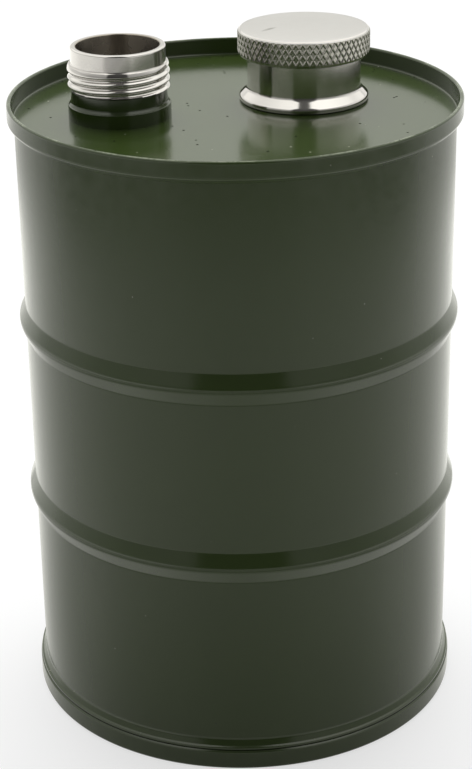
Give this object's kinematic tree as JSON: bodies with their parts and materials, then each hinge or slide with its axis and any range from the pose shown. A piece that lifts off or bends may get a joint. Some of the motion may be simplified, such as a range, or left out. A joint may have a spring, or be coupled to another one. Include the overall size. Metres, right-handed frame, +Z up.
{
  "type": "drum-shaped drinks flask",
  "caption": "Steel drinks flask shaped like an oil drum, with rolled hoops, a recessed deck, an open threaded neck and a neck closed by a knurled screw cap that turns and rises.",
  "frame": {"origin": "centre of the foot ring, on the surface that the flask stands on", "axes": "+Z up along the drum's axis; the open neck stands on the -X side of the deck and the capped neck on the +X side, a little towards +Y"},
  "size_m": [0.09, 0.09, 0.1396],
  "materials": {
    "drum_paint": "satin army-green paint on steel sheet",
    "neck_steel": "turned and polished stainless steel, bare thread",
    "sleeve_steel": "mirror-polished stainless steel",
    "head_steel": "fine satin top and a diamond-knurled edge, stainless steel",
    "liner_silicone": "matt translucent-white silicone"
  },
  "bodies": {
    "flask": {"drum_wall": "drum_paint", "top_end": "drum_paint", "bottom_end": "drum_paint", "neck_collar": "drum_paint", "open_neck": "neck_steel", "capped_neck": "neck_steel"},
    "liner": {"cap_liner": "liner_silicone"},
    "cap": {"cap_sleeve": "sleeve_steel", "cap_head": "head_steel"}
  },
  "joints": [
    {"name": "cap_rise", "type": "slide", "parent": "flask", "child": "liner", "axis": [0, 0, 1], "range_m": [0, 0.0045]},
    {"name": "cap_turn", "type": "hinge", "parent": "liner", "child": "cap", "pos_m": [0.0139, 0.0087, 0.1247], "axis": [0, 0, 1], "range_deg": [0, 1080]}
  ],
  "couplings": [
    {"joint": "cap_rise", "follows": "cap_turn", "m_per_rad": 0.00023873}
  ]
}
